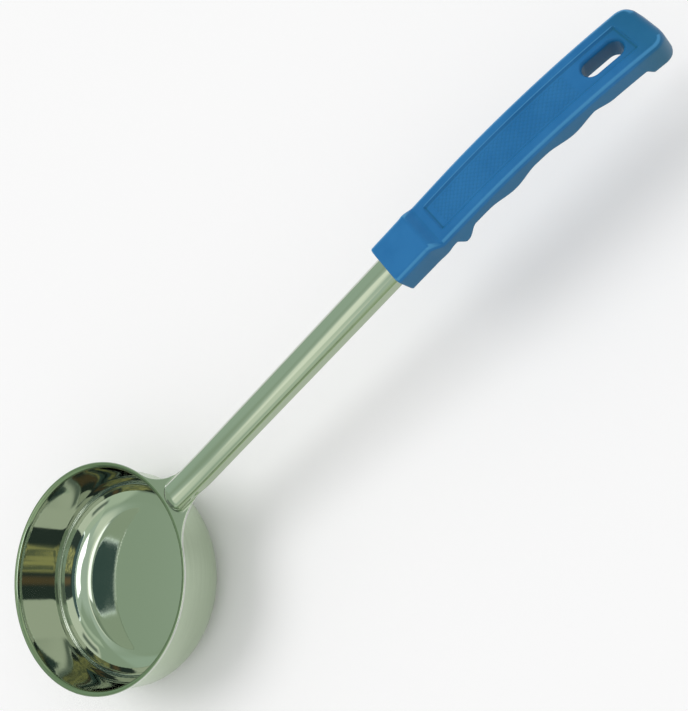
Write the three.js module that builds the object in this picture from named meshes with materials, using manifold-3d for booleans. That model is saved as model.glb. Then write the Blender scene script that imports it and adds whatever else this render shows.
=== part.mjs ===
// Portion spoon: one stainless steel stamping (bowl, neck, shaft and tang) with a moulded plastic grip.
// Millimetres. The origin is the middle of the bowl's flat underside, +Z points up out of the bowl,
// and +X points along the handle.

import * as THREE from "three";
import { mergeVertices } from "three/addons/utils/BufferGeometryUtils.js";
import Module from "manifold-3d";

const wasm = await Module();
wasm.setup();

// Steel sheet and bowl. Radii and heights are those of the inner, upper side of the sheet.
const SHEET = 1.2;
const RIM_RADIUS = 54;
const WALL_FOOT_RADIUS = 49.5;
const WALL_TOP_RADIUS = 50.9;
const BASE_FILLET = 15;
const FLANGE_HEIGHT = 38;
const LIP_RADIUS = 2.8;
const FLANGE_REACH = 94;

// Neck and shaft. The shaft is an upturned channel, with its legs standing at the flange's underside.
const LEG_HEIGHT = FLANGE_HEIGHT - SHEET;
const NECK_TANGENT = THREE.MathUtils.degToRad(24);
const TRIM_HALF_WIDTH = 7.45;
const RIB_HALF_WIDTH = 7.2;
const RIB_RISE = 5.3;
const RIB_CORNER = 3;
const RIB_DRAFT = 0.5;
const NOSE_START = 55.1;
const NOSE_LENGTH = 4.8;
const NOSE_TIP_SHARE = 0.02;
const FOOT_FILLET = 1.5;
const SHAFT_FOOT = 0.2;
const HOLLOW_FOOT = 0.05;
const CORNER_SHARE = 0.9;
const CROWN_SHARE = 0.05;
const FOOT_SHARE = 0.4;
const FOOT_FADE = [66, 80];
const BEND_SPAN = [61, 85];
const BEND_ANGLE = THREE.MathUtils.degToRad(3.7);

// Grip, measured from the front face of its collar and from the line of the shaft's legs.
const GRIP_START = 197.5;
const GRIP_LENGTH = 118.8;
const GRIP_EDGE = 2.5;
const FRONT_EDGE = 0.8;
const COLLAR_HALF_WIDTH = 9.8;
const COLLAR_TOP = 8.4;
const COLLAR_LOW = -5.6;
const WIDTH_RAMP = [15, 21];
const LOW_RAMP = [15.5, 23.5];
const TOP_RAMP = [16.5, 25.5];
const BODY_HALF_WIDTH = 10.7;
const END_HALF_WIDTH = 11;
const BODY_TOP = 5.5;
const BODY_LOW = -3.2;
const ARCH_START = 34;
const ARCH_RADIUS = 290;
const CREST_CENTRES = [51.5, 77.5];
const CREST_HALF_LENGTH = 11;
const CREST_DROP = 2.8;
const REAR_CREST = [86, 94];
const REAR_CREST_DROP = 2.6;
const GUARD_DROP = 5;
const GUARD_RISE = [24.2, 26.6];
const GUARD_FALL = [27.4, 34];
const HOOK_START = 106.8;
const HOOK_RISE_LENGTH = 2.5;
const HOOK_DROP = 4;
const END_CORNER = 5.5;
const END_EDGE = 3;
const RAIL_WIDTH = 4.6;
const PANEL_DEPTH = 0.9;
const PANEL_SPAN = [24, 111];
const PANEL_FADE = 2;
const SLOT_CENTRE = 100.5;
const SLOT_LENGTH = 16.6;
const SLOT_WIDTH = 7.4;
const SLOT_EDGE = 1;

// Tang inside the grip, in the grip's frame.
const TANG_LENGTH = 82;
const TANG_FLATTENS = [8, 22];
const TANG_RISE = 2.8;
const TANG_LIFT = 0.4;
const KEY_HOLES = [44, 66];
const KEY_RADIUS = 3;
const CLEARANCE = 0.3;

// Facets and the reach of cutting bodies
const BOWL_SEGMENTS = 96;
const BASE_STEPS = 8;
const FILLET_STEPS = 5;
const CORNER_STEPS = 5;
const NOSE_STEPS = 8;
const BEND_STEPS = 5;
const TANG_STEPS = 8;
const TANG_SPACING = 9;
const LEAST_SPACING = 0.1;
const RAMP_SPACING = 1;
const RAMP_STATIONS = 19;
const BODY_SPACING = 2;
const HOOK_STEPS = 4;
const END_STEPS = 8;
const PANEL_STEPS = 28;
const HOLE_STEPS = 24;
const SLOT_STEPS = 10;
const SLOT_EDGE_STEPS = 3;
const TALL = 60;

const smooth = (from, to, value) => THREE.MathUtils.smoothstep(value, from, to);
const blend = THREE.MathUtils.lerp;

// A geometry as a solid that can be joined and cut.
function solid(geometry) {
  const bare = new THREE.BufferGeometry();
  bare.setAttribute("position", geometry.getAttribute("position"));
  bare.setIndex(geometry.getIndex());
  const merged = mergeVertices(bare, 1e-4);
  const corners = merged.getIndex().array;
  const triangles = [];
  for (let i = 0; i < corners.length; i += 3) {
    const [a, b, c] = corners.slice(i, i + 3);
    if (a !== b && b !== c && c !== a) triangles.push(a, b, c);
  }
  const mesh = new wasm.Mesh({
    numProp: 3,
    vertProperties: new Float32Array(merged.getAttribute("position").array),
    triVerts: Uint32Array.from(triangles),
  });
  return new wasm.Manifold(mesh);
}

// A solid as a named mesh with its own material.
function part(name, body, material) {
  const { vertProperties, triVerts } = body.getMesh();
  const geometry = new THREE.BufferGeometry();
  geometry.setAttribute("position", new THREE.BufferAttribute(Float32Array.from(vertProperties), 3));
  geometry.setIndex(new THREE.BufferAttribute(Uint32Array.from(triVerts), 1));
  geometry.computeVertexNormals();
  const mesh = new THREE.Mesh(geometry, material);
  mesh.name = name;
  return mesh;
}

// Points along an arc, both ends included.
function arc(centreX, centreY, radius, from, to, steps) {
  const points = [];
  for (let i = 0; i <= steps; i++) {
    const angle = blend(from, to, i / steps);
    const spoke = new THREE.Vector2(radius * Math.cos(angle), radius * Math.sin(angle));
    points.push(spoke.add(new THREE.Vector2(centreX, centreY)));
  }
  return points;
}

// A line through corners given as [x, y, fillet radius, steps], each rounded by a tangent arc.
function roundedLine(corners) {
  const points = [];
  corners.forEach(([x, y, radius, steps], i) => {
    const corner = new THREE.Vector2(x, y);
    if (!radius) {
      points.push(corner);
      return;
    }
    const back = new THREE.Vector2(...corners[i - 1].slice(0, 2)).sub(corner).normalize();
    const ahead = new THREE.Vector2(...corners[i + 1].slice(0, 2)).sub(corner).normalize();
    const half = Math.acos(back.dot(ahead)) / 2;
    const middle = back.clone().add(ahead).normalize();
    const centre = corner.clone().addScaledVector(middle, radius / Math.sin(half));
    const tangent = corner.clone().addScaledVector(back, radius / Math.tan(half)).sub(centre);
    const sweep = (Math.PI - 2 * half) * Math.sign(ahead.cross(back));
    const start = tangent.angle();
    points.push(...arc(centre.x, centre.y, radius, start, start + sweep, steps));
  });
  return points;
}

// The same line moved sideways, to its right, by the thickness of a sheet.
function offsetLine(points, distance) {
  return points.map((point, i) => {
    const before = points[Math.max(i - 1, 0)];
    const after = points[Math.min(i + 1, points.length - 1)];
    const back = (i ? point.clone().sub(before) : after.clone().sub(point)).normalize();
    const ahead = (i < points.length - 1 ? after.clone().sub(point) : back.clone()).normalize();
    const along = back.clone().add(ahead).normalize();
    const mitre = distance / along.dot(back);
    return new THREE.Vector2(point.x + along.y * mitre, point.y - along.x * mitre);
  });
}

// A skin over closed loops of equal length that run counter-clockwise seen from +X, with capped ends.
function loft(loops) {
  const count = loops[0].length;
  const positions = loops.flat().flatMap((point) => point.toArray());
  const index = [];
  for (let i = 0; i < loops.length - 1; i++) {
    for (let j = 0; j < count; j++) {
      const next = (j + 1) % count;
      const [a, b] = [i * count + j, i * count + next];
      const [c, d] = [a + count, b + count];
      index.push(a, b, c, b, d, c);
    }
  }
  const flat = (loop) => loop.map((point) => new THREE.Vector2(point.y, point.z));
  const last = (loops.length - 1) * count;
  for (const [a, b, c] of THREE.ShapeUtils.triangulateShape(flat(loops[0]), [])) {
    index.push(a, c, b);
  }
  for (const [a, b, c] of THREE.ShapeUtils.triangulateShape(flat(loops.at(-1)), [])) {
    index.push(last + a, last + b, last + c);
  }
  const geometry = new THREE.BufferGeometry();
  geometry.setAttribute("position", new THREE.Float32BufferAttribute(positions, 3));
  geometry.setIndex(index);
  return solid(geometry);
}

// The upright geometry over an outline, from one height to another.
function upright(outline, low, high) {
  const options = { depth: high - low, bevelEnabled: false };
  return new THREE.ExtrudeGeometry(new THREE.Shape(outline), options).translate(0, 0, low);
}

function cylinder(x, radius) {
  const outline = arc(x, 0, radius, 0, 2 * Math.PI, HOLE_STEPS).slice(1);
  return solid(upright(outline, 0, TALL));
}

// The drawn sheet before trimming: base, rounded corner, slightly tapered wall, lip and a wide flange.
function drawnSheet() {
  const upper = roundedLine([
    [0, SHEET, 0],
    [WALL_FOOT_RADIUS, SHEET, BASE_FILLET, BASE_STEPS],
    [WALL_TOP_RADIUS, FLANGE_HEIGHT, LIP_RADIUS, FILLET_STEPS],
    [FLANGE_REACH, FLANGE_HEIGHT, 0],
  ]);
  const lower = offsetLine(upper, SHEET);
  const geometry = new THREE.LatheGeometry([...lower, ...upper.reverse()], BOWL_SEGMENTS);
  return solid(geometry.rotateX(Math.PI / 2));
}

// The trimming outline: the rim's circle, a fillet on each side of the neck, and the straight shaft.
function trimOutline() {
  const sine = Math.sin(NECK_TANGENT);
  const fillet = (RIM_RADIUS * sine - TRIM_HALF_WIDTH) / (1 - sine);
  const reach = RIM_RADIUS + fillet;
  const filletX = reach * Math.cos(NECK_TANGENT);
  const filletY = TRIM_HALF_WIDTH + fillet;
  const free = 2 * Math.PI - 2 * NECK_TANGENT;
  const rimSteps = Math.round((free / (2 * Math.PI)) * BOWL_SEGMENTS);
  const rim = arc(0, 0, RIM_RADIUS, NECK_TANGENT, NECK_TANGENT + free, rimSteps);
  const onRim = Math.PI - NECK_TANGENT;
  const right = arc(filletX, -filletY, fillet, onRim, Math.PI / 2, 2 * FILLET_STEPS).slice(1);
  const left = arc(filletX, filletY, fillet, -Math.PI / 2, -onRim, 2 * FILLET_STEPS).slice(0, -1);
  const end = GRIP_START + TANG_LENGTH;
  const tip = [new THREE.Vector2(end, -TRIM_HALF_WIDTH), new THREE.Vector2(end, TRIM_HALF_WIDTH)];
  return [...rim, ...right, ...tip, ...left];
}

// Fall of the grip's arched line below the straight line of the shaft.
function archDrop(x) {
  return Math.max(x - ARCH_START, 0) ** 2 / (2 * ARCH_RADIUS);
}

// A section of the rib: an upturned channel with rounded shoulders and flared feet. Near the nose,
// where the section is small, the rounding shrinks with it.
function ribLoop(x, halfWidth, low, base, rise, foot, fullCorner) {
  const corner = Math.min(fullCorner, CORNER_SHARE * rise, CORNER_SHARE * halfWidth);
  const shoulder = Math.max(halfWidth - RIB_DRAFT - corner, CROWN_SHARE * halfWidth);
  const feet = Math.min(foot, FOOT_SHARE * rise);
  const half = [
    new THREE.Vector2(halfWidth + feet, low),
    ...arc(halfWidth + feet, base + feet, feet, -Math.PI / 2, -Math.PI, FILLET_STEPS),
    ...arc(shoulder, base + rise - corner, corner, 0, Math.PI / 2, CORNER_STEPS),
  ];
  const mirrored = half.map((point) => new THREE.Vector2(-point.x, point.y)).reverse();
  return [...half, ...mirrored].map((point) => new THREE.Vector3(x, point.x, point.y));
}

// Places along the rib with the share of its full size there: a round nose, the bend, the tang's
// flattening and the arched tang.
function ribStations(noseLength) {
  const noseEnd = NOSE_START + NOSE_LENGTH;
  const stations = [];
  for (let i = 1; i <= NOSE_STEPS; i++) {
    const turn = (i / NOSE_STEPS) * (Math.PI / 2);
    stations.push([noseEnd - noseLength * Math.cos(turn), Math.sin(turn)]);
  }
  for (let i = 1; i <= BEND_STEPS; i++) {
    stations.push([blend(noseEnd, BEND_SPAN[1], i / BEND_STEPS), 1]);
  }
  for (let i = 0; i <= TANG_STEPS; i++) {
    stations.push([GRIP_START + blend(...TANG_FLATTENS, i / TANG_STEPS), 1]);
  }
  for (let x = ARCH_START; x < TANG_LENGTH; x += TANG_SPACING) {
    stations.push([GRIP_START + x, 1]);
  }
  return stations;
}

// Sections of the rib from one place to another. The inset is 0 for the outer side of the steel, its
// thickness for the hollow underneath, and negative for the pocket that clears it.
function ribLoops(inset, from, to) {
  const hollow = inset > 0;
  const section = (x, share) => {
    const inGrip = x - GRIP_START;
    const flat = smooth(...TANG_FLATTENS, inGrip);
    const base = LEG_HEIGHT + TANG_LIFT * flat - archDrop(inGrip);
    const rise = (blend(RIB_RISE, TANG_RISE, flat) - inset) * share;
    const halfWidth = (RIB_HALF_WIDTH - inset) * share;
    const corner = RIB_CORNER - inset;
    if (hollow) {
      return ribLoop(x, halfWidth, base - 2 * SHEET, base - SHEET, rise + SHEET, HOLLOW_FOOT, corner);
    }
    const foot = blend(FOOT_FILLET, SHAFT_FOOT, smooth(...FOOT_FADE, x)) * share;
    return ribLoop(x, halfWidth, base + inset, base, rise, foot, corner);
  };
  const inside = ribStations(NOSE_LENGTH - inset).filter(
    ([x]) => x > from + LEAST_SPACING && x < to - LEAST_SPACING,
  );
  const first = from > NOSE_START + NOSE_LENGTH ? 1 : NOSE_TIP_SHARE;
  return [[from, first], ...inside, [to, 1]].map(([x, share]) => section(x, share));
}

// Turns the straight handle up by the bend angle over the span at the neck.
function bend(point) {
  const [start, end] = BEND_SPAN;
  const radius = (end - start) / BEND_ANGLE;
  const turn = THREE.MathUtils.clamp((point.x - start) / radius, 0, BEND_ANGLE);
  if (!turn) return point;
  const beyond = Math.max(point.x - end, 0);
  const above = point.z - LEG_HEIGHT;
  const x = start + (radius - above) * Math.sin(turn) + beyond * Math.cos(turn);
  const z = LEG_HEIGHT + radius - (radius - above) * Math.cos(turn) + beyond * Math.sin(turn);
  return point.set(x, point.y, z);
}

function spoonBody() {
  const end = GRIP_START + TANG_LENGTH;
  const rib = loft(ribLoops(0, NOSE_START, end));
  const hollow = loft(ribLoops(SHEET, NOSE_START + SHEET, end + SHEET));
  const trim = solid(upright(trimOutline(), -SHEET, TALL));
  let body = drawnSheet().add(rib).subtract(hollow).intersect(trim);
  for (const x of KEY_HOLES) {
    body = body.subtract(cylinder(GRIP_START + x, KEY_RADIUS));
  }
  const point = new THREE.Vector3();
  return body.warp((vertex) => {
    bend(point.fromArray(vertex)).toArray(vertex);
  });
}

// A section of the grip: a rectangle with rounded corners.
function gripLoop(x, halfWidth, low, high, radius) {
  const [y, bottom, top] = [halfWidth - radius, low + radius, high - radius];
  const quarter = Math.PI / 2;
  return [
    ...arc(-y, bottom, radius, 2 * quarter, 3 * quarter, FILLET_STEPS),
    ...arc(y, bottom, radius, 3 * quarter, 4 * quarter, FILLET_STEPS),
    ...arc(y, top, radius, 0, quarter, FILLET_STEPS),
    ...arc(-y, top, radius, quarter, 2 * quarter, FILLET_STEPS),
  ].map((point) => new THREE.Vector3(x, point.x, point.y));
}

// Outer lines of the grip along its length: the collar runs over into the lower, wider body, which has
// a guard behind the collar, waves for the fingers and a hooked end below.
function gripTop(x) {
  return blend(COLLAR_TOP, BODY_TOP, smooth(...TOP_RAMP, x)) - archDrop(x);
}

function gripLow(x) {
  const straight = blend(COLLAR_LOW, BODY_LOW, smooth(...LOW_RAMP, x)) - archDrop(x);
  let crests = REAR_CREST_DROP * smooth(...REAR_CREST, x);
  for (const centre of CREST_CENTRES) {
    const share = Math.min(Math.abs(x - centre) / CREST_HALF_LENGTH, 1);
    crests = Math.max(crests, (CREST_DROP * (1 + Math.cos(Math.PI * share))) / 2);
  }
  const guard = GUARD_DROP * smooth(...GUARD_RISE, x) * (1 - smooth(...GUARD_FALL, x));
  const hook = HOOK_DROP * smooth(HOOK_START, HOOK_START + HOOK_RISE_LENGTH, x);
  return straight - crests - guard - hook;
}

function gripHalfWidth(x) {
  const body = blend(BODY_HALF_WIDTH, END_HALF_WIDTH, x / GRIP_LENGTH);
  return blend(COLLAR_HALF_WIDTH, body, smooth(...WIDTH_RAMP, x));
}

// How far a rounded end of the given radius pulls a side in, near the grip's end.
function endInset(x, radius) {
  const past = Math.max(x - (GRIP_LENGTH - radius), 0);
  return radius - Math.sqrt(Math.max(radius ** 2 - past ** 2, 0));
}

function gripStations() {
  const stations = [0, FRONT_EDGE];
  for (let i = 0; i <= RAMP_STATIONS; i++) {
    stations.push(WIDTH_RAMP[0] + i * RAMP_SPACING);
  }
  for (let x = stations.at(-1) + BODY_SPACING; x < HOOK_START; x += BODY_SPACING) {
    stations.push(x);
  }
  for (let i = 0; i <= HOOK_STEPS; i++) {
    stations.push(HOOK_START + (HOOK_RISE_LENGTH * i) / HOOK_STEPS);
  }
  for (let i = 0; i <= END_STEPS; i++) {
    const turn = (i / END_STEPS) * (Math.PI / 2);
    stations.push(GRIP_LENGTH - END_CORNER * Math.cos(turn));
  }
  return stations;
}

function gripOuter() {
  return loft(
    gripStations().map((x) => {
      const front = x === 0 ? FRONT_EDGE : 0;
      const edge = endInset(x, END_EDGE) + front;
      const halfWidth = gripHalfWidth(x) - endInset(x, END_CORNER) - front;
      return gripLoop(x, halfWidth, gripLow(x) + edge, gripTop(x) - edge, GRIP_EDGE);
    }),
  );
}

// The recessed panel between the two rails, which runs out smoothly at both ends.
function panelRecess() {
  const [start, end] = PANEL_SPAN;
  const loops = [];
  for (let i = 0; i <= PANEL_STEPS; i++) {
    const x = blend(start, end, i / PANEL_STEPS);
    const floor = gripTop(x) - PANEL_DEPTH * smooth(0, PANEL_FADE, Math.min(x - start, end - x));
    const y = gripHalfWidth(x) - RAIL_WIDTH;
    const corners = [
      [-y, floor],
      [y, floor],
      [y, floor + TALL],
      [-y, floor + TALL],
    ];
    loops.push(corners.map(([across, up]) => new THREE.Vector3(x, across, up)));
  }
  return loft(loops);
}

// The hanging slot: a straight hole with round ends and a rounded upper edge, square to the arched top.
function hangingSlot() {
  const straight = (SLOT_LENGTH - SLOT_WIDTH) / 2;
  const ring = (height, growth) => {
    const radius = SLOT_WIDTH / 2 + growth;
    const outline = [
      ...arc(straight, 0, radius, -Math.PI / 2, Math.PI / 2, SLOT_STEPS),
      ...arc(-straight, 0, radius, Math.PI / 2, (3 * Math.PI) / 2, SLOT_STEPS),
    ];
    return outline.map((point) => new THREE.Vector3(height, point.y, -point.x));
  };
  const edge = arc(-SLOT_EDGE, SLOT_EDGE, SLOT_EDGE, -Math.PI / 2, 0, SLOT_EDGE_STEPS);
  const rings = [
    ring(-TALL / 2, 0),
    ...edge.map((point) => ring(point.x, point.y)),
    ring(TALL / 2, SLOT_EDGE),
  ];
  const slope = (SLOT_CENTRE - ARCH_START) / ARCH_RADIUS;
  const lean = THREE.MathUtils.radToDeg(Math.atan(slope)) - 90;
  const floor = gripTop(SLOT_CENTRE) - PANEL_DEPTH;
  return loft(rings).rotate([0, lean, 0]).translate([SLOT_CENTRE, 0, floor]);
}

// The space that the tang fills, with clearance all round; plugs of plastic stay in the tang's holes.
function tangPocket() {
  const start = GRIP_START - SHEET;
  const end = GRIP_START + TANG_LENGTH + CLEARANCE;
  const outer = loft(ribLoops(-CLEARANCE, start, end));
  const core = loft(ribLoops(SHEET + CLEARANCE, start - SHEET, end + SHEET));
  let pocket = outer.subtract(core);
  for (const x of KEY_HOLES) {
    pocket = pocket.subtract(cylinder(GRIP_START + x, KEY_RADIUS - CLEARANCE));
  }
  return pocket.translate([-GRIP_START, 0, -LEG_HEIGHT]);
}

function grip() {
  return gripOuter().subtract(panelRecess()).subtract(hangingSlot()).subtract(tangPocket());
}

const steel = new THREE.MeshStandardMaterial({ color: 0xb9beb4, roughness: 0.12, metalness: 1 });
const bluePlastic = new THREE.MeshStandardMaterial({ color: 0x2b6ca8, roughness: 0.42, metalness: 0 });

const spoon = new THREE.Group();
spoon.add(part("spoon_body", spoonBody(), steel));

const gripMesh = part("grip", grip(), bluePlastic);
gripMesh.position.copy(bend(new THREE.Vector3(GRIP_START, 0, LEG_HEIGHT)));
gripMesh.rotation.y = -BEND_ANGLE;
spoon.add(gripMesh);

export default spoon;
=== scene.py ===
import math

import bmesh
import bpy
import numpy as np
from mathutils import Matrix, Vector


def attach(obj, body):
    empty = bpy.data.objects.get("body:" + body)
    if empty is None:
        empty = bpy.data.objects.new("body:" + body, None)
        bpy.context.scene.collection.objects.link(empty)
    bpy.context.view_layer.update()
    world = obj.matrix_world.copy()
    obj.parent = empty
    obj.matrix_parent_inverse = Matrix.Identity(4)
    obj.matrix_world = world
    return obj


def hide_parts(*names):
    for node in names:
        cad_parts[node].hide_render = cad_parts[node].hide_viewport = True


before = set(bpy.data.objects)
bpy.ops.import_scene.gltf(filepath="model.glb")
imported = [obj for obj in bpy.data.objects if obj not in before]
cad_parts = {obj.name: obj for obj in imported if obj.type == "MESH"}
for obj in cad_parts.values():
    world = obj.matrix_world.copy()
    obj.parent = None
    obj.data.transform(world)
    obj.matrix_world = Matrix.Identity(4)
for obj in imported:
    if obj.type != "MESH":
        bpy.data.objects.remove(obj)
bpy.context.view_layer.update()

MM = 0.001
TINY = 1e-6
QUARTER = 0.5 * math.pi

# Bowl of the steel stamping, in millimetres. Radii and heights are those of the upper side of the sheet.
SHEET = 1.2
RIM_RADIUS = 54.0
WALL_FOOT = 49.5
WALL_TOP = 51.5
BASE_FILLET = 15.0
FLANGE = 38.0
LIP = 2.0

# Lean of the bowl's wall and the centres of the arcs at its foot and lip
WALL_LEAN = math.atan2(WALL_TOP - WALL_FOOT, FLANGE - SHEET)
ARC_REACH = 1.0 / math.tan(0.25 * math.pi + 0.5 * WALL_LEAN)
FILLET_CENTRE = WALL_FOOT - BASE_FILLET * ARC_REACH
LIP_CENTRE = WALL_TOP + LIP * ARC_REACH

# Rib and shaft: a channel with an arched crown, drafted legs and a rounded foot, bent up behind the neck
LEG = FLANGE - SHEET
RIB_HALF = 7.2
RIB_RISE = 5.3
RIB_ARCH = 3.0
RIB_ARCH_LIMIT = 0.9
RIB_DRAFT = 0.5
NOSE_CENTRE = 59.9
NOSE_LENGTH = 4.6
FOOT = 1.4
FOOT_FADE = (63.0, 78.0)
BEND_SPAN = (61.0, 85.0)
BEND_ANGLE = math.radians(3.7)

# Edge of the sheet: a circle at the rim, a fillet from the tangent angle on, then straight along the shaft
EDGE_ROUNDING = 0.3
EDGE_RADIUS = RIM_RADIUS - EDGE_ROUNDING
NECK_TANGENT = math.radians(24.0)
LEG_FLARE = 0.06
EDGE_HALF = RIB_HALF + LEG_FLARE

# Fall of the foot line where the edge cuts the foot's rounding on the shaft
SHAFT_DROP = FOOT * (1.0 - math.sin(math.acos(1.0 - LEG_FLARE / FOOT)))

# The mesh's strips start at the pole for the rim, and from there to the nose's centre along the neck.
NOSE_POLE = EDGE_RADIUS / math.cos(NECK_TANGENT)
NOSE_PULL_SPAN = 9.7

# Tang inside the grip, measured from the front of the grip's collar
TANG_LENGTH = 82.0
TANG_FLATTENS = (8.0, 22.0)
TANG_RISE = 2.8
TANG_LIFT = 0.4

# Grip, measured from the front of its collar and from the line of the shaft's legs
GRIP_START = 197.5
GRIP_LENGTH = 118.8
GRIP_EDGE = 2.5
FRONT_EDGE = 0.8
COLLAR_HALF = 9.8
COLLAR_TOP = 8.4
COLLAR_LOW = -5.6
WIDTH_RAMP = (15.0, 21.0)
LOW_RAMP = (15.5, 23.5)
TOP_RAMP = (16.5, 21.5)
BODY_HALF = 10.7
END_HALF = 11.0
BODY_TOP = 5.5
BODY_LOW = -3.2
ARCH_START = 34.0
ARCH_RADIUS = 290.0
CREST_CENTRES = (51.5, 77.5)
CREST_HALF_LENGTH = 11.0
CREST_DROP = 2.8
REAR_CREST = (86.0, 94.0)
REAR_CREST_DROP = 2.6
GUARD_DROP = 5.0
GUARD_RISE = (24.2, 26.6)
GUARD_FALL = (27.4, 34.0)
HOOK = (106.8, 109.3)
HOOK_DROP = 4.0
END_CORNER = 5.5
END_EDGE = 3.0
SHARP_ANGLE = math.radians(40.0)

# Recessed panel of the grip, its diamond texture and the hanging slot
RAIL_WIDTH = 4.6
RAIL_ROUNDING = (0.7, 0.6)
PANEL_DEPTH = 0.9
PANEL_SPAN = (24.0, 111.0)
PANEL_FADE = 1.3
TEXTURE_PITCH = 1.45
TEXTURE_DEPTH = 0.17
TEXTURE_SPAN = (26.0, 90.0)
TEXTURE_FADES = (2.0, 3.0)
TEXTURE_MARGIN = (0.3, 0.9)
GROOVE_SHARPNESS = 3
SLOT_CENTRE = 100.9
SLOT_LENGTH = 15.6
SLOT_WIDTH = 6.6
SLOT_EDGE = 1.7
SLOT_FLARE = math.radians(70.0)

# Sampling of the sheet
SECTOR_STEPS = 56
OUTSIDE_STEPS = 216
FILLET_STEPS = 28
WALL_STEPS = 10
LIP_STEPS = 14
BASE_STEPS = 22
BASE_CROWDING = 0.85
RIB_STEPS = 22
OUTER_STEPS = 30
FOOT_WEIGHT = 4.0
DENSE_STEPS = 24
EDGE_STEPS = 3
NECK_STEPS = 36
SHAFT_SPACING = 3.0
SPINE_DIGITS = 6

# Sampling of the grip
COLLAR_SPACING = 1.0
PANEL_SPACING = 0.3
FLOOR_STEPS = 20
RAIL_STEPS = 8
FLAT_STEPS = 4
CORNER_STEPS = 10
SIDE_STEPS = 5
END_STEPS = 16
SLOT_STEPS = 24

# Finish of the steel: its level is 0 on the polished upper side, 1 on the brushed lower and outer side, and
# half on the lip and the steep legs, which are a little rougher and darker as painted shade.
DULLNESS_AND_SHADE = "dullness_and_shade"
TRIM_SHADE = 0.5
LEG_SHADE_STEEPNESS = (0.1, 0.32)
STEEL_BRIGHT = (0.66, 0.68, 0.63, 1)
# Painted shade: the darker colour of the lip and of the steep legs of the handle
STEEL_TRIM_SHADE = (0.38, 0.45, 0.33, 1)
STEEL_DULL = (0.49, 0.58, 0.43, 1)
STEEL_BRUSHED = (0.54, 0.63, 0.48, 1)
SMUDGE_SCALE = 45.0
SMUDGE_DETAIL = 5.0
SMUDGE_SPAN = (0.4, 0.75)
POLISH = (0.03, 0.075)
DULL_ROUGHNESS = 0.2
BRUSH_DETAIL = 3.0
LINE_SCALE = (60.0, 1400.0, 1400.0)
LINE_RELIEF = 0.2
RING_SCALE = (25.0, 25.0, 4000.0)
RING_SPAN = (0.35, 0.65)

# Finish of the plastic, with painted shade in grooves, on sides and towards the end, and a painted highlight
# on ridges: grooves and ridges by pointiness, levels by the normal's Z, places in metres
PLASTIC = (0.016, 0.148, 0.37, 1)
PLASTIC_PALE = (0.022, 0.172, 0.412, 1)
# Painted highlight: the paler colour along the grip's ridges
PLASTIC_HIGHLIGHT = (0.06, 0.27, 0.52, 1)
# Painted shade: the darker colour of the grip's sides, grooves and end
PLASTIC_SHADED = (0.005, 0.092, 0.12, 1)
PLASTIC_SPECULAR = 0.2
CLOUD_SCALE = 70.0
CLOUD_DETAIL = 4.0
CLOUD_SPAN = (0.35, 0.7)
SHEEN_SPAN = (0.3, 0.7)
SHEEN = (0.3, 0.4)
GRAIN_SCALE = 2600.0
GRAIN_DETAIL = 2.0
# Painted shade in grooves and at the foot of the rails, by low pointiness
GROOVE_SPAN = (0.47, 0.497)
GROOVE_SHADE = 0.4
# Painted shade towards the grip's end, in metres along it
DARK_END = (0.298, 0.312)
END_SHADE = 0.4
RIDGE_SPAN = (0.504, 0.514)
RIDGE_LEVEL_LOW = (0.55, 0.75)
RIDGE_LEVEL_HIGH = (0.86, 0.96)
# Painted highlight only on the left rail's inner crest and the right edge, in metres across
HIGHLIGHT_LEFT = (0.0055, 0.0062)
HIGHLIGHT_RIGHT = (-0.0072, -0.0078)
# Painted shade on faces turned sideways and down, by the normal's Z
SIDE_LEVEL = (-0.2, 0.5)
SIDE_SHADE = 0.6

# Fine relief of both materials: strength, and depth in metres
FINE_RELIEF = (0.12, 0.0002)

# Floor, in metres
FLOOR_HALF = 6.0
FLOOR_LEVEL = -0.0005
FLOOR_COLOUR = (0.97, 0.97, 0.97, 1)

# Light: an even white sky and a broad soft sun
SKY_COLOUR = (1, 1, 1, 1)
FILL = 0.74
KEY_STRENGTH = 0.9
KEY_TURN = (math.radians(32), 0.0, math.radians(215))
KEY_ANGLE = math.radians(35)

# Colours of the plain room that glossy surfaces mirror instead of the bare sky
ROOM = (0.31, 0.415, 0.29, 1)
ROOM_HIGH = (0.45, 0.57, 0.45, 1)
HAZE = (0.47, 0.59, 0.43, 1)
MIST = (0.37, 0.495, 0.37, 1)
BEIGE = (0.6, 0.69, 0.52, 1)
BUFF = (0.68, 0.78, 0.6, 1)
CREAM = (0.88, 0.97, 0.77, 1)
DARK = (0.035, 0.055, 0.045, 1)
TEAL = (0.07, 0.125, 0.115, 1)
OLIVE = (0.13, 0.16, 0.09, 1)
SHADE = (0.15, 0.2, 0.15, 1)
GOLD = (0.44, 0.44, 0.17, 1)
RUST = (0.13, 0.1, 0.05, 1)
WINDOW = (2.2, 2.3, 2.25, 1)
PALE = (1.3, 1.5, 1.4, 1)

# Places in that room, in degrees: turn from the camera's side, rise above the floor, softness of the edge
CAMERA_SIDE = math.radians(37.1)
HIGH_RISE = (48, 62)
AIR_PATCHES = (
    (HAZE, (-130, -90), (18, 50), 6),
    (MIST, (130, 166), (-10, 50), 6),
    (ROOM, (52, 132), (-10, 73), 6),
    (SHADE, (-168, -132), (-10, 28), 4),
    (BUFF, (-170, -104), (58, 71), 5),
    (CREAM, (-190, -156), (60, 72), 4),
    (CREAM, (160, 190), (59, 72), 4),
    (HAZE, (24, 58), (43, 52), 4),
    (HAZE, (24, 112), (51, 58), 2),
    (HAZE, (-100, -44), (43, 58), 2),
)
WALL_PATCHES = (
    (BEIGE, (-95, -49), (-12, 44), 1.5),
    (BEIGE, (24, 96), (8, 44), 1.5),
    (SHADE, (-99, -74), (29, 37), 3),
    (SHADE, (66, 93), (28, 37), 3),
    (DARK, (-50, 24), (6, 44), 1),
)
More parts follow.
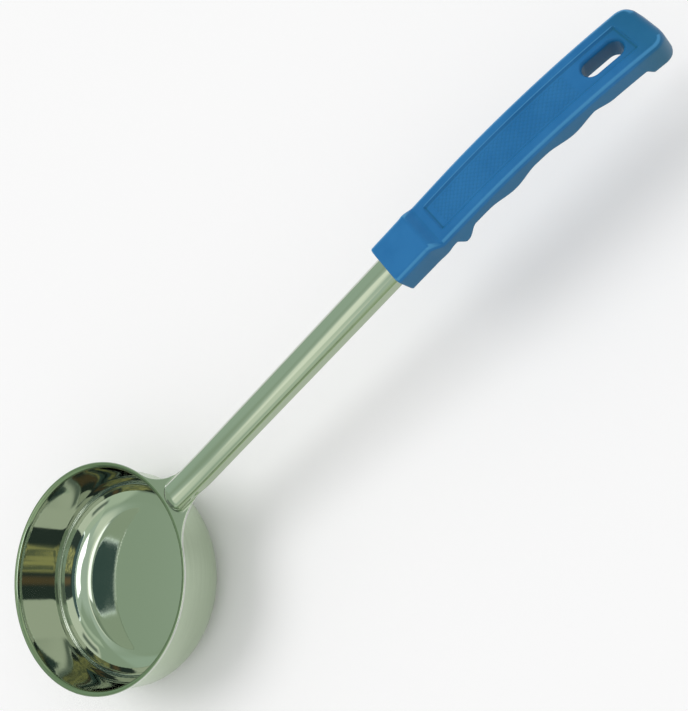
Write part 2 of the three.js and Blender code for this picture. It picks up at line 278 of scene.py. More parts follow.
BLOTCHED_PLACE = ((-31, -4), (12, 42), 3)
BLOTCH_SCALE = (14, 14, 40)
BLOTCH_DETAIL = 4.0
BLOTCH_SPAN = (0.42, 0.6)
LATE_PATCHES = (
    (RUST, (1, 9), (14, 40), 3),
    (ROOM_HIGH, (24, 50), (62, 78), 4),
    (WINDOW, (-75, 34), (62, 78), 2),
)

# A dark dome with a pale border in that room, in degrees
DOME_CENTRE = -1
DOME_TURN = 54
DOME_RISE = 6.5
DOME_FOOT = 49.5
DOME_BORDER = 1.05
DOME_EDGE = (0.97, 1.03)

# Camera of the photograph: its frame in pixels, its place in millimetres and its directions
IMAGE = (688.0, 711.0)
FOCAL_PX = 963.12
CENTRE_PX = (207.79, 416.55)
SENSOR = 36.0
CAMERA_MM = (251.1437, -189.9061, 371.5115)
FORWARD = Vector((-0.37144902, 0.49012674, -0.78854385))
RIGHT = Vector((0.65353868, -0.46523781, -0.59702678))


def smooth(low, high, value):
    """An eased step from 0 at low to 1 at high."""
    share = min(max((value - low) / (high - low), 0.0), 1.0)
    return share * share * (3.0 - 2.0 * share)


def mix(start, end, share):
    return start + (end - start) * share


def arc(centre, height, radius, first, last, steps):
    """Points of an arc in a plane, from the first angle to the last."""
    points = []
    for i in range(steps + 1):
        angle = mix(first, last, i / steps)
        points.append((centre + radius * math.cos(angle), height + radius * math.sin(angle)))
    return points


def bent(x, y, z):
    """A point of the straight handle after the bend at the neck."""
    start, end = BEND_SPAN
    radius = (end - start) / BEND_ANGLE
    turn = min(max((x - start) / radius, 0.0), BEND_ANGLE)
    if turn <= 0.0:
        return (x, y, z)
    beyond = max(x - end, 0.0)
    arm = radius - (z - LEG)
    return (
        start + arm * math.sin(turn) + beyond * math.cos(turn),
        y,
        LEG + radius - arm * math.cos(turn) + beyond * math.sin(turn),
    )


def flange_height(radius):
    """Upper side of the lip and the flange at a distance from the bowl's axis."""
    inner = LIP_CENTRE - radius
    if inner <= 0.0:
        return FLANGE
    return FLANGE - LIP + math.sqrt(max(LIP * LIP - inner * inner, 0.0))


def arch_drop(grip_x):
    """How far the arched line of the grip has fallen at a distance from the collar's front."""
    return max(grip_x - ARCH_START, 0.0) ** 2 / (2.0 * ARCH_RADIUS)


def rib_levels(x):
    """Height of the foot line and of the crown of the rib at a place along the handle."""
    grip_x = x - GRIP_START
    flat = smooth(*TANG_FLATTENS, grip_x)
    shift = TANG_LIFT * flat - arch_drop(grip_x)
    foot = mix(FLANGE, LEG + EDGE_ROUNDING - SHAFT_DROP, smooth(*FOOT_FADE, x)) + shift
    crown = LEG + mix(RIB_RISE, TANG_RISE, flat) + shift
    return foot, crown


def channel_shape(y, rise, low):
    """Height of the channel section above its foot line, at a distance from the middle."""
    arch = min(RIB_ARCH, RIB_ARCH_LIMIT * rise)
    shoulder = RIB_HALF - RIB_DRAFT
    if y <= shoulder:
        return rise - arch + arch * math.sqrt(1.0 - (y / shoulder) ** 2)
    return mix(rise - arch, low, (y - shoulder) / RIB_DRAFT)


def neck_edge():
    """Plan points of the sheet's edge from the rim's tangent point to the shaft."""
    sine = math.sin(NECK_TANGENT)
    fillet = (EDGE_RADIUS * sine - EDGE_HALF) / (1.0 - sine)
    centre_x = (EDGE_RADIUS + fillet) * math.cos(NECK_TANGENT)
    centre_y = EDGE_HALF + fillet
    return arc(centre_x, centre_y, fillet, NECK_TANGENT - math.pi, -QUARTER, NECK_STEPS)[1:]


def handle_edge():
    """Plan points of the sheet's edge from the rim's tangent point to the end of the tang."""
    edge = neck_edge()
    last = edge[-1][0]
    end = GRIP_START + TANG_LENGTH
    stations = round((end - last) / SHAFT_SPACING)
    return edge + [(mix(last, end, i / stations), EDGE_HALF) for i in range(1, stations + 1)]


def spread(points, weights, count):
    """The same polyline sampled at even steps of weighted length, without its first point."""
    array = np.array(points)
    lengths = np.linalg.norm(np.diff(array, axis=0), axis=1) * np.array(weights)
    steps = np.concatenate([[0.0], np.cumsum(lengths)])
    wanted = np.linspace(0.0, steps[-1], count + 1)[1:]
    return np.stack([np.interp(wanted, steps, array[:, k]) for k in range(array.shape[1])], 1)


def spine_start(edge_x):
    """Place on the middle line from which the strip to a point of the edge starts."""
    if edge_x >= NOSE_CENTRE:
        return edge_x
    return mix(NOSE_CENTRE, NOSE_POLE, smooth(0.0, NOSE_PULL_SPAN, NOSE_CENTRE - edge_x))


def section(start, edge_x, edge_y):
    """Points of the sheet, straight in plan from the middle line at start out to a point of the edge.

    In plan the rib ends in half an ellipse round the nose's centre. A share of 1 is on the rib's outline.
    """
    centre = max(start, NOSE_CENTRE)
    length = math.hypot(edge_x - start, edge_y)
    ahead = (edge_x - start) / length
    across = edge_y / length
    foot_line, crown = rib_levels(centre)
    rise = crown - foot_line
    turned = edge_x < NOSE_CENTRE
    first = (centre - start) / NOSE_LENGTH
    stretch = math.hypot(ahead / NOSE_LENGTH, across / RIB_HALF)
    lean = -first * ahead / NOSE_LENGTH

    def distance_to(share):
        return (math.sqrt(lean**2 + stretch**2 * (share**2 - first**2)) - lean) / stretch**2

    def rib_point(share):
        distance = distance_to(share)
        x = start + ahead * distance
        y = across * distance
        side = y**2 / max(y**2 + (x - centre) ** 2, TINY**2)
        full = channel_shape(share * RIB_HALF, rise, FOOT)
        nose = FOOT + (rise - FOOT) * math.sqrt(max(1.0 - share * share, 0.0))
        return (x, y, foot_line + mix(nose, full, side))

    def floor_point(distance, above):
        x = start + ahead * distance
        y = across * distance
        level = flange_height(math.hypot(x, y)) if turned else foot_line
        return (x, y, level + above)

    split = (RIB_HALF - RIB_DRAFT) / RIB_HALF
    points = []
    for i in range(RIB_STEPS + 1):
        points.append(rib_point(mix(first, split, math.sin(QUARTER * i / RIB_STEPS))))
    outer = [points[-1]]
    for i in range(1, DENSE_STEPS + 1):
        outer.append(rib_point(mix(split, 1.0, math.sin(QUARTER * i / DENSE_STEPS))))
    half = distance_to(1.0)
    reach = min(FOOT, length - half)
    sweep = math.acos(1.0 - reach / FOOT)
    for i in range(1, DENSE_STEPS + 1):
        angle = sweep * i / DENSE_STEPS
        outer.append(floor_point(half + FOOT * (1.0 - math.cos(angle)), FOOT * (1.0 - math.sin(angle))))
    weights = [FOOT_WEIGHT] * (2 * DENSE_STEPS)
    if length - half - reach > TINY:
        outer.append(floor_point(length, 0.0))
        weights.append(1.0)
    points.extend(tuple(point) for point in spread(outer, weights, OUTER_STEPS))
    return points


def bowl_profile():
    """Radius and height of the bowl's inner side, from the middle of the base to the rim's edge."""
    steps = range(1, BASE_STEPS + 1)
    base = [(FILLET_CENTRE * (i / BASE_STEPS) ** BASE_CROWDING, SHEET) for i in steps]
    corner_height = SHEET + BASE_FILLET
    corner = arc(FILLET_CENTRE, corner_height, BASE_FILLET, -QUARTER, -WALL_LEAN, FILLET_STEPS)
    lip = arc(LIP_CENTRE, FLANGE - LIP, LIP, math.pi - WALL_LEAN, QUARTER, LIP_STEPS)
    wall = []
    for i in range(1, WALL_STEPS):
        wall.append(tuple(mix(low, high, i / WALL_STEPS) for low, high in zip(corner[-1], lip[0])))
    return base + corner[1:] + wall + lip + [(EDGE_RADIUS, FLANGE)]


def add_point(skin, x, y, z):
    return skin.verts.new((x * MM, y * MM, z * MM))


def on_circle(radius, angle):
    return radius * math.cos(angle), radius * math.sin(angle)


def bowl_columns():
    """Angles of the bowl's columns: first the sector at the neck, then the rest of the circle."""
    sector = [mix(-NECK_TANGENT, NECK_TANGENT, i / SECTOR_STEPS) for i in range(SECTOR_STEPS + 1)]
    far = 2 * math.pi - NECK_TANGENT
    return sector + [mix(NECK_TANGENT, far, i / OUTSIDE_STEPS) for i in range(1, OUTSIDE_STEPS)]


def add_bowl(skin, columns):
    """The bowl's inner side. Gives back its middle and its rings from the base to the rim's edge."""
    middle = add_point(skin, 0, 0, SHEET)
    rings = []
    for radius, height in bowl_profile():
        rings.append([add_point(skin, *on_circle(radius, angle), height) for angle in columns])
    count = len(columns)
    for i in range(count):
        skin.faces.new((middle, rings[0][i], rings[0][(i + 1) % count]))
    for low, high in zip(rings, rings[1:]):
        for i in range(count):
            j = (i + 1) % count
            skin.faces.new((low[i], high[i], high[j], low[j]))
    return middle, rings


def add_handle(skin, columns, rim):
    """Neck, rib, shaft and tang: strips from the middle line out to the edge, on both sides."""
    spine = {}

    def strip(edge_x, edge_y, tip=None):
        start = NOSE_POLE if tip else spine_start(edge_x)
        points = section(start, edge_x, abs(edge_y))
        side = -1.0 if edge_y < 0 else 1.0
        key = round(start, SPINE_DIGITS)
        if key not in spine:
            spine[key] = add_point(skin, *bent(*points[0]))
        inner = points[1:-1] if tip else points[1:]
        made = [add_point(skin, *bent(x, y * side, z)) for x, y, z in inner]
        return [spine[key]] + made + ([tip] if tip else [])

    edge = handle_edge()
    strips = [strip(x, -y) for x, y in reversed(edge)]
    for k in range(SECTOR_STEPS + 1):
        strips.append(strip(*on_circle(EDGE_RADIUS, columns[k]), rim[k]))
    strips.extend(strip(x, y) for x, y in edge)
    for one, two in zip(strips, strips[1:]):
        for i in range(len(one) - 1):
            corners = list(dict.fromkeys((one[i], one[i + 1], two[i + 1], two[i])))
            if len(corners) > 2:
                skin.faces.new(corners)
    return strips


def face_up(skin, middle):
    """Turns all faces to the side on which the middle of the bowl's base looks up."""
    bmesh.ops.recalc_face_normals(skin, faces=skin.faces)
    skin.normal_update()
    if middle.normal.z < 0:
        bmesh.ops.reverse_faces(skin, faces=skin.faces)
        skin.normal_update()


def mark_trim_shade(skin, rings, strips):
    """Marks the lip and the steep sides of the handle as a little rougher, and darker as painted shade."""
    dull_and_shade = skin.verts.layers.float[DULLNESS_AND_SHADE]
    # Painted shade: the steeper a side of the handle, the darker its colour; the lip is darkened too, and
    # both get a little rougher
    for strip in strips:
        for vertex in strip:
            vertex[dull_and_shade] = TRIM_SHADE * smooth(*LEG_SHADE_STEEPNESS, 1.0 - vertex.normal.z)
    for ring in rings[-LIP_STEPS:-1]:
        for vertex in ring:
            vertex[dull_and_shade] = TRIM_SHADE


def border_sides(border, normal):
    """For each vertex of the border, the direction straight out of the sheet in its own plane."""
    neighbours = {}
    inward = {}
    for edge in border:
        middle = edge.link_faces[0].calc_center_median()
        for vertex in edge.verts:
            neighbours.setdefault(vertex, []).append(edge.other_vert(vertex))
            inward[vertex] = inward.get(vertex, Vector()) + (middle - vertex.co)
    sides = {}
    for vertex, (one, two) in neighbours.items():
        along = (two.co - one.co).normalized()
        side = along.cross(normal[vertex]).normalized()
        sides[vertex] = side if side.dot(inward[vertex]) < 0 else -side
    return sides


def thicken(skin):
    """Gives the sheet its thickness below the upper side, and a rounded edge all round."""
    upper_faces = list(skin.faces)
    normal = {vertex: vertex.normal.copy() for vertex in skin.verts}
    border = [edge for edge in skin.edges if len(edge.link_faces) == 1]
    sides = border_sides(border, normal)
    dull_and_shade = skin.verts.layers.float[DULLNESS_AND_SHADE]
    lower = {}
    for vertex in normal:
        lower[vertex] = skin.verts.new(vertex.co - normal[vertex] * SHEET * MM)
        lower[vertex][dull_and_shade] = 1.0
    for face in upper_faces:
        skin.faces.new([lower[vertex] for vertex in reversed(face.verts)])

    def rounding(vertex, way, angle):
        shift = sides[vertex] * math.sin(angle) - normal[vertex] * way * (1 - math.cos(angle))
        return shift * EDGE_ROUNDING * MM

    rows = {}
    for vertex in sides:
        row = [vertex]
        for i in range(1, EDGE_STEPS + 1):
            row.append(skin.verts.new(vertex.co + rounding(vertex, 1, QUARTER * i / EDGE_STEPS)))
        for i in range(EDGE_STEPS):
            shift = rounding(vertex, -1, QUARTER * (1 - i / EDGE_STEPS))
            row.append(skin.verts.new(lower[vertex].co + shift))
        rows[vertex] = row + [lower[vertex]]
    for edge in border:
        loop = edge.link_loops[0]
        one = rows[loop.vert]
        two = rows[loop.link_loop_next.vert]
        for i in range(len(one) - 1):
            skin.faces.new((two[i], one[i], one[i + 1], two[i + 1]))
    skin.normal_update()


def steel_mesh():
    """The whole stamping as one closed sheet."""
    skin = bmesh.new()
    skin.verts.layers.float.new(DULLNESS_AND_SHADE)
    columns = bowl_columns()
    middle, rings = add_bowl(skin, columns)
    strips = add_handle(skin, columns, rings[-1])
    face_up(skin, middle)
    mark_trim_shade(skin, rings, strips)
    thicken(skin)
    for face in skin.faces:
        face.smooth = True
    mesh = bpy.data.meshes.new("steel")
    skin.to_mesh(mesh)
    skin.free()
    return mesh


def grip_top(x):
    return mix(COLLAR_TOP, BODY_TOP, smooth(*TOP_RAMP, x)) - arch_drop(x)


def grip_low(x):
    straight = mix(COLLAR_LOW, BODY_LOW, smooth(*LOW_RAMP, x)) - arch_drop(x)
    crests = REAR_CREST_DROP * smooth(*REAR_CREST, x)
    for centre in CREST_CENTRES:
        share = min(abs(x - centre) / CREST_HALF_LENGTH, 1.0)
        crests = max(crests, CREST_DROP * (1 + math.cos(math.pi * share)) / 2)
    guard = GUARD_DROP * smooth(*GUARD_RISE, x) * (1 - smooth(*GUARD_FALL, x))
    return straight - crests - guard - HOOK_DROP * smooth(*HOOK, x)


def grip_half(x):
    body = mix(BODY_HALF, END_HALF, x / GRIP_LENGTH)
    return mix(COLLAR_HALF, body, smooth(*WIDTH_RAMP, x))


def rounded_inset(past, radius):
    """How far a rounded end of the given radius pulls a side in."""
    past = max(past, 0.0)
    return radius - math.sqrt(max(radius**2 - past**2, 0.0))


def texture(x, y, half):
    """Depth of the fine diamond grooves in the panel."""
    start, end = TEXTURE_SPAN
    fade_in, fade_out = TEXTURE_FADES
    inside = smooth(start, start + fade_in, x) * smooth(0, fade_out, end - x)
    inside *= smooth(*TEXTURE_MARGIN, half - abs(y))
    grooves = []
    for side in (-1, 1):
        wave = math.cos(2 * math.pi * (x + side * y) / (math.sqrt(2) * TEXTURE_PITCH))
        grooves.append((0.5 + 0.5 * wave) ** GROOVE_SHARPNESS)
    return TEXTURE_DEPTH * inside * max(grooves)


def grip_half_loop(x):
    """Points (y, z) of the grip's section from the middle of the top to the middle of the bottom."""
    front = rounded_inset(FRONT_EDGE - x, FRONT_EDGE)
    edge = rounded_inset(x - (GRIP_LENGTH - END_EDGE), END_EDGE) + front
    half = grip_half(x) - rounded_inset(x - (GRIP_LENGTH - END_CORNER), END_CORNER) - front
    top = grip_top(x) - edge
    low = grip_low(x) + edge
    start, end = PANEL_SPAN
    depth = PANEL_DEPTH * smooth(0, PANEL_FADE, min(x - start, end - x))
    panel = half - RAIL_WIDTH
    wall = (panel - RAIL_ROUNDING[0], panel + RAIL_ROUNDING[1])
    shoulder = half - GRIP_EDGE
    across = [wall[0] * i / FLOOR_STEPS for i in range(FLOOR_STEPS)]
    across += [mix(*wall, i / RAIL_STEPS) for i in range(RAIL_STEPS)]
    across += [mix(wall[1], shoulder, i / FLAT_STEPS) for i in range(FLAT_STEPS)]
    points = [(y, top - depth * (1 - smooth(*wall, y)) - texture(x, y, wall[0])) for y in across]
    side_top = top - GRIP_EDGE
    side_low = low + GRIP_EDGE
    points += arc(shoulder, side_top, GRIP_EDGE, QUARTER, 0.0, CORNER_STEPS)
    points += [(half, mix(side_top, side_low, i / SIDE_STEPS)) for i in range(1, SIDE_STEPS)]
    points += arc(shoulder, side_low, GRIP_EDGE, 0.0, -QUARTER, CORNER_STEPS)
    points += [(mix(shoulder, 0.0, i / SIDE_STEPS), low) for i in range(1, SIDE_STEPS + 1)]
    return points


def grip_stations():
    """Places along the grip at which its section is taken."""
    stations = []
    for i in range(CORNER_STEPS):
        stations.append(FRONT_EDGE * (1 - math.cos(QUARTER * i / CORNER_STEPS)))
    for start, end, spacing in (
        (FRONT_EDGE, WIDTH_RAMP[0], COLLAR_SPACING),
        (WIDTH_RAMP[0], GRIP_LENGTH - END_CORNER, PANEL_SPACING),
    ):
        count = round((end - start) / spacing)
        stations.extend(mix(start, end, i / count) for i in range(count))
    for i in range(END_STEPS + 1):
        stations.append(GRIP_LENGTH - END_CORNER * math.cos(QUARTER * i / END_STEPS))
    return stations


def in_grip(x, y, z):
    """A point given from the collar's front and the line of the legs, in metres in the frame."""
    return [value * MM for value in bent(GRIP_START + x, y, LEG + z)]


def loft(loops, name):
    """A skin over closed loops that run clockwise seen from their far end, with both ends capped."""
    count = len(loops[0])
    faces = []
    for i in range(len(loops) - 1):
        for j in range(count):
            k = (j + 1) % count
            faces.append((i * count + j, (i + 1) * count + j, (i + 1) * count + k, i * count + k))
    faces.append(tuple(range(count)))
    last = (len(loops) - 1) * count
    faces.append(tuple(last + j for j in reversed(range(count))))
    mesh = bpy.data.meshes.new(name)
    mesh.from_pydata([point for loop in loops for point in loop], [], faces)
    return mesh


def slot_cutter():
    """The hanging slot's space, with rounded mouths, square to the arched top."""
    straight = 0.5 * (SLOT_LENGTH - SLOT_WIDTH)
    lean = math.atan((SLOT_CENTRE - ARCH_START) / ARCH_RADIUS)
    floor = grip_top(SLOT_CENTRE) - PANEL_DEPTH
    thickness = floor - grip_low(SLOT_CENTRE)

    def ring(height, growth):
        points = []
        radius = 0.5 * SLOT_WIDTH + growth
        for i in range(SLOT_STEPS):
            angle = -2 * math.pi * (i + 0.5) / SLOT_STEPS
            along = radius * math.cos(angle) + math.copysign(straight, math.cos(angle))
            x = SLOT_CENTRE + along * math.cos(lean) + height * math.sin(lean)
            z = floor - along * math.sin(lean) + height * math.cos(lean)
            points.append(in_grip(x, radius * math.sin(angle), z))
        return points

    def mouth(way, level):
        rounding = []
        for i in range(CORNER_STEPS + 1):
            angle = SLOT_FLARE * i / CORNER_STEPS
            rise = SLOT_EDGE * (math.sin(angle) - math.sin(SLOT_FLARE))
            rounding.append((level + way * rise, SLOT_EDGE * (1 - math.cos(angle))))
        height, growth = rounding[-1]
        beyond = (height + way * SLOT_EDGE * math.cos(SLOT_FLARE), growth + SLOT_EDGE * math.sin(SLOT_FLARE))
        return rounding + [beyond]

    levels = list(reversed(mouth(-1, -thickness))) + mouth(1, 0.0)
    return loft([ring(height, growth) for height, growth in levels], "slot")


def grip_mesh():
    """The moulded grip with its hanging slot cut through."""
    loops = []
    for x in grip_stations():
        half = grip_half_loop(x)
        loop = half + [(-y, z) for y, z in reversed(half[1:-1])]
        loops.append([in_grip(x, y, z) for y, z in loop])
    whole = bpy.data.objects.new("whole_grip", loft(loops, "whole_grip"))
    cutter = bpy.data.objects.new("slot_cutter", slot_cutter())
    for piece in (whole, cutter):
        bpy.context.scene.collection.objects.link(piece)
    cut = whole.modifiers.new("slot", "BOOLEAN")
    cut.operation = "DIFFERENCE"
    cut.solver = "EXACT"
    cut.object = cutter
    bpy.context.view_layer.update()
    evaluated = whole.evaluated_get(bpy.context.evaluated_depsgraph_get())
    mesh = bpy.data.meshes.new_from_object(evaluated)
    for piece in (whole, cutter):
        spare = piece.data
        bpy.data.objects.remove(piece)
        bpy.data.meshes.remove(spare)
    mesh.polygons.foreach_set("use_smooth", [True] * len(mesh.polygons))
    mesh.set_sharp_from_angle(angle=SHARP_ANGLE)
    mesh.update()
    return mesh


def add(name, mesh, material):
    piece = bpy.data.objects.new(name, mesh)
    bpy.context.scene.collection.objects.link(piece)
    mesh.materials.clear()
    mesh.materials.append(material)
    return piece


class Nodes:
    """Short names for the shader nodes that the materials and the light use."""

    def __init__(self, tree):
        self.tree = tree

    def make(self, kind, **settings):
        node = self.tree.nodes.new(kind)
        for name, value in settings.items():
            setattr(node, name, value)
        return node

    def link(self, value, socket):
        """Joins an output to a socket, or sets the socket to a plain value."""
        if hasattr(value, "is_linked"):
            self.tree.links.new(value, socket)
        else:
            socket.default_value = value

    def math(self, operation, *values):
        node = self.make("ShaderNodeMath", operation=operation)
        for value, socket in zip(values, node.inputs):
            self.link(value, socket)
        return node.outputs[0]

    def span(self, value, low, high, start=0.0, end=1.0):
        """The value eased from one range to another."""
        node = self.make("ShaderNodeMapRange", interpolation_type="SMOOTHSTEP")
        for socket, number in zip(node.inputs, (value, low, high, start, end)):
            self.link(number, socket)
        return node.outputs[0]

    def mixed(self, factor, one, two):
        """A mix of two colours, whose sockets come after the node's number and vector sockets."""
        node = self.make("ShaderNodeMix", data_type="RGBA")
        self.link(factor, node.inputs[0])
        self.link(one, node.inputs[6])
        self.link(two, node.inputs[7])
        return node.outputs[2]

    def axes(self, vector):
        node = self.make("ShaderNodeSeparateXYZ")
        self.link(vector, node.inputs[0])
        return node.outputs

    def placed(self, vector, scale=(1, 1, 1), rotation=(0, 0, 0)):
        node = self.make("ShaderNodeMapping")
        self.link(vector, node.inputs["Vector"])
        node.inputs["Scale"].default_value = scale
        node.inputs["Rotation"].default_value = rotation
        return node.outputs[0]

    def noise(self, vector, scale, detail):
        node = self.make("ShaderNodeTexNoise")
        self.link(vector, node.inputs["Vector"])
        node.inputs["Scale"].default_value = scale
        node.inputs["Detail"].default_value = detail
        return node.outputs["Fac"]

    def streaks(self, vector, scales, detail):
        """Noise with a scale of its own along each axis."""
        return self.noise(self.placed(vector, scales), 1.0, detail)

    def bump(self, height, strength, distance):
        node = self.make("ShaderNodeBump")
        self.link(height, node.inputs["Height"])
        node.inputs["Strength"].default_value = strength
        node.inputs["Distance"].default_value = distance
        return node.outputs[0]


def new_material(name):
    material = bpy.data.materials.new(name)
    material.use_nodes = True
    tree = material.node_tree
    return material, Nodes(tree), tree.nodes["Principled BSDF"].inputs


def steel_material():
    """Stainless sheet: polished on its upper side, darker on lip and legs as painted shade, and brushed on
    the outside.
    """
    material, nodes, shader = new_material("polished_steel")
    place = nodes.make("ShaderNodeTexCoord").outputs["Object"]
    dullness_and_shade = nodes.make("ShaderNodeAttribute", attribute_name=DULLNESS_AND_SHADE).outputs["Fac"]
    smudges = nodes.noise(place, SMUDGE_SCALE, SMUDGE_DETAIL)
    lines = nodes.streaks(place, LINE_SCALE, BRUSH_DETAIL)
    rings = nodes.streaks(place, RING_SCALE, BRUSH_DETAIL)
    brushed = nodes.mixed(nodes.span(rings, *RING_SPAN), STEEL_DULL, STEEL_BRUSHED)
    # Painted shade: the lip and the steep legs are darkened towards this colour
    trim_shaded = nodes.mixed(nodes.span(dullness_and_shade, 0.0, TRIM_SHADE), STEEL_BRIGHT, STEEL_TRIM_SHADE)
    colour = nodes.mixed(nodes.span(dullness_and_shade, TRIM_SHADE, 1.0), trim_shaded, brushed)
    nodes.link(colour, shader["Base Color"])
    shader["Metallic"].default_value = 1.0
    polish = nodes.span(smudges, *SMUDGE_SPAN, *POLISH)
    nodes.link(nodes.math("MULTIPLY_ADD", dullness_and_shade, DULL_ROUGHNESS, polish), shader["Roughness"])
    relief = nodes.mixed(dullness_and_shade, nodes.math("MULTIPLY", lines, LINE_RELIEF), rings)
    nodes.link(nodes.bump(relief, *FINE_RELIEF), shader["Normal"])
    return material


def plastic_material():
    """Moulded blue plastic with a fine grain, painted shade on its sides, grooves and end, and a painted
    highlight on its ridges.
    """
    material, nodes, shader = new_material("blue_plastic")
    place = nodes.make("ShaderNodeTexCoord").outputs["Object"]
    form = nodes.make("ShaderNodeNewGeometry").outputs
    clouds = nodes.noise(place, CLOUD_SCALE, CLOUD_DETAIL)
    grain = nodes.noise(place, GRAIN_SCALE, GRAIN_DETAIL)
    along, across, _ = nodes.axes(place)
    level = nodes.axes(form["Normal"])["Z"]
    curve = form["Pointiness"]
    # Painted highlight along sharp convex edges that face partly up
    highlight_sides = nodes.math("MAXIMUM", nodes.span(across, *HIGHLIGHT_LEFT), nodes.span(across, *HIGHLIGHT_RIGHT))
    ridge_highlight = nodes.math("MULTIPLY", nodes.span(curve, *RIDGE_SPAN), highlight_sides)
    ridge_highlight = nodes.math("MULTIPLY", ridge_highlight, nodes.span(level, *RIDGE_LEVEL_LOW))
    ridge_highlight = nodes.math("MULTIPLY", ridge_highlight, nodes.span(level, *RIDGE_LEVEL_HIGH, 1.0, 0.0))
    colour = nodes.mixed(nodes.span(clouds, *CLOUD_SPAN), PLASTIC, PLASTIC_PALE)
    # Painted shade in grooves and at the foot of the rails
    colour = nodes.mixed(nodes.span(curve, *GROOVE_SPAN, GROOVE_SHADE, 0.0), colour, PLASTIC_SHADED)
    # Painted shade: the end of the grip is darkened along its length
    colour = nodes.mixed(nodes.span(along, *DARK_END, 0.0, END_SHADE), colour, PLASTIC_SHADED)
    colour = nodes.mixed(ridge_highlight, colour, PLASTIC_HIGHLIGHT)
    # Painted shade: faces turned sideways and down are darker
    colour = nodes.mixed(nodes.span(level, *SIDE_LEVEL, SIDE_SHADE, 0.0), colour, PLASTIC_SHADED)
    nodes.link(colour, shader["Base Color"])
    shader["Specular IOR Level"].default_value = PLASTIC_SPECULAR
    nodes.link(nodes.span(clouds, *SHEEN_SPAN, *SHEEN), shader["Roughness"])
    nodes.link(nodes.bump(grain, *FINE_RELIEF), shader["Normal"])
    return material


def add_floor():
    """A plain pale floor just under the bowl's base."""
    mesh = bpy.data.meshes.new("floor")
    corners = [(x * FLOOR_HALF, y * FLOOR_HALF, 0) for x, y in ((-1, -1), (1, -1), (1, 1), (-1, 1))]
    mesh.from_pydata(corners, [], [(0, 1, 2, 3)])
    material, _, shader = new_material("floor")
    shader["Base Color"].default_value = FLOOR_COLOUR
    shader["Roughness"].default_value = 1.0
    shader["Specular IOR Level"].default_value = 0.0
    floor = add("floor", mesh, material)
    floor.location.z = FLOOR_LEVEL
    return floor


def room_colour(nodes):
    """Colour of the mirrored room by direction. Each patch covers those before it."""
    generated = nodes.make("ShaderNodeTexCoord").outputs["Generated"]
    way = nodes.placed(generated, rotation=(0, 0, CAMERA_SIDE))
    x, y, z = nodes.axes(way)
    turn = nodes.math("MULTIPLY", nodes.math("ARCTAN2", y, x), math.degrees(1))
    rise = nodes.math("MULTIPLY", nodes.math("ARCSINE", z), math.degrees(1))

    def band(value, low, high, soft):
        rising = nodes.span(value, low - soft, low + soft)
        falling = nodes.span(value, high - soft, high + soft, 1, 0)
        return nodes.math("MULTIPLY", rising, falling)

    def patch(base, colour, turns, rises, soft):
        share = nodes.math("MULTIPLY", band(turn, *turns, soft), band(rise, *rises, soft))
        return nodes.mixed(share, base, colour)

    def dome(base, colour, size):
        width = DOME_TURN * size
        tall = DOME_RISE * size
        reach = nodes.math("MULTIPLY_ADD", turn, 1 / width, -DOME_CENTRE / width)
        height = nodes.math("MULTIPLY_ADD", rise, 1 / tall, -DOME_FOOT / tall)
        height = nodes.math("MAXIMUM", height, 0.0)
        reach_square = nodes.math("MULTIPLY", reach, reach)
        square = nodes.math("ADD", reach_square, nodes.math("MULTIPLY", height, height))
        return nodes.mixed(nodes.span(square, *DOME_EDGE, 1, 0), base, colour)

    blotches = nodes.span(nodes.streaks(way, BLOTCH_SCALE, BLOTCH_DETAIL), *BLOTCH_SPAN)
    colour = nodes.mixed(nodes.span(rise, *HIGH_RISE), ROOM, ROOM_HIGH)
    for place in AIR_PATCHES:
        colour = patch(colour, *place)
    colour = dome(colour, PALE, DOME_BORDER)
    colour = dome(colour, TEAL, 1.0)
    for place in WALL_PATCHES:
        colour = patch(colour, *place)
    colour = patch(colour, nodes.mixed(blotches, OLIVE, GOLD), *BLOTCHED_PLACE)
    for place in LATE_PATCHES:
        colour = patch(colour, *place)
    return colour


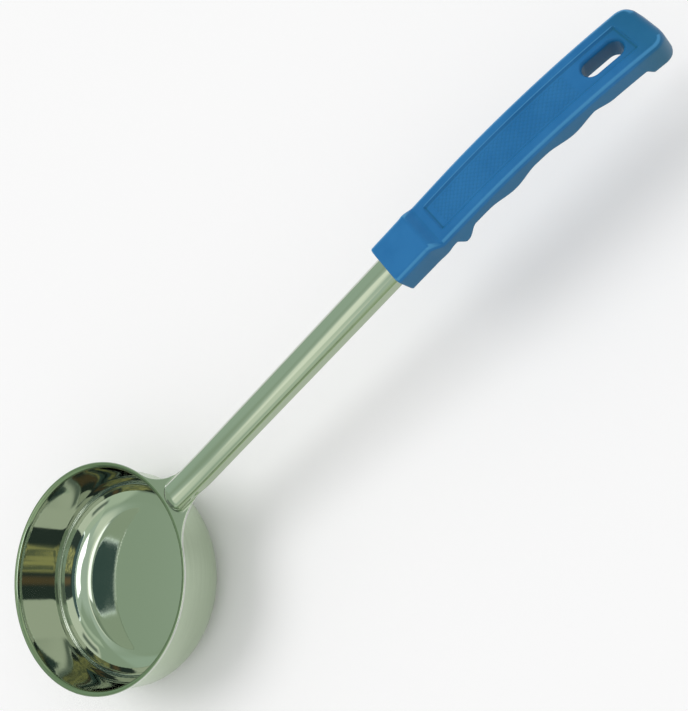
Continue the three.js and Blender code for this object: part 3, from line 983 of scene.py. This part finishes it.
def studio_world():
    """An even white sky, in whose place glossy surfaces mirror the plain room."""
    world = bpy.data.worlds.new("studio")
    world.use_nodes = True
    tree = world.node_tree
    nodes = Nodes(tree)
    sky = tree.nodes["Background"]
    sky.inputs["Color"].default_value = SKY_COLOUR
    sky.inputs["Strength"].default_value = FILL
    room = nodes.make("ShaderNodeBackground")
    nodes.link(room_colour(nodes), room.inputs["Color"])
    choice = nodes.make("ShaderNodeMixShader")
    nodes.link(nodes.make("ShaderNodeLightPath").outputs["Is Glossy Ray"], choice.inputs[0])
    nodes.link(sky.outputs[0], choice.inputs[1])
    nodes.link(room.outputs[0], choice.inputs[2])
    nodes.link(choice.outputs[0], tree.nodes["World Output"].inputs["Surface"])
    return world


def add_key():
    """A broad soft sun that makes the shadow on the floor and shows in no reflection."""
    data = bpy.data.lights.new("key", "SUN")
    data.energy = KEY_STRENGTH
    data.angle = KEY_ANGLE
    key = bpy.data.objects.new("key", data)
    key.rotation_euler = KEY_TURN
    key.visible_glossy = False
    bpy.context.scene.collection.objects.link(key)


def add_camera():
    """The photograph's camera. Its shift comes from where the optical axis meets the frame."""
    data = bpy.data.cameras.new("camera")
    camera = bpy.data.objects.new("camera", data)
    bpy.context.scene.collection.objects.link(camera)
    up = RIGHT.cross(FORWARD)
    turn = Matrix((RIGHT, up, -FORWARD)).transposed().to_4x4()
    camera.matrix_world = Matrix.Translation(Vector(CAMERA_MM) * MM) @ turn
    data.sensor_fit = "HORIZONTAL"
    data.sensor_width = SENSOR
    data.lens = FOCAL_PX / IMAGE[0] * SENSOR
    data.shift_x = (IMAGE[0] / 2 - CENTRE_PX[0]) / IMAGE[0]
    data.shift_y = (CENTRE_PX[1] - IMAGE[1] / 2) / IMAGE[0]
    return camera


body = add("steel_spoon_body", steel_mesh(), steel_material())
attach(body, "root")
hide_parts("spoon_body")

grip = add("moulded_grip", grip_mesh(), plastic_material())
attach(grip, "root")
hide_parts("grip")

add_floor()

scene = bpy.context.scene
scene.view_settings.view_transform = "Standard"
scene.world = studio_world()
add_key()
scene.camera = add_camera()
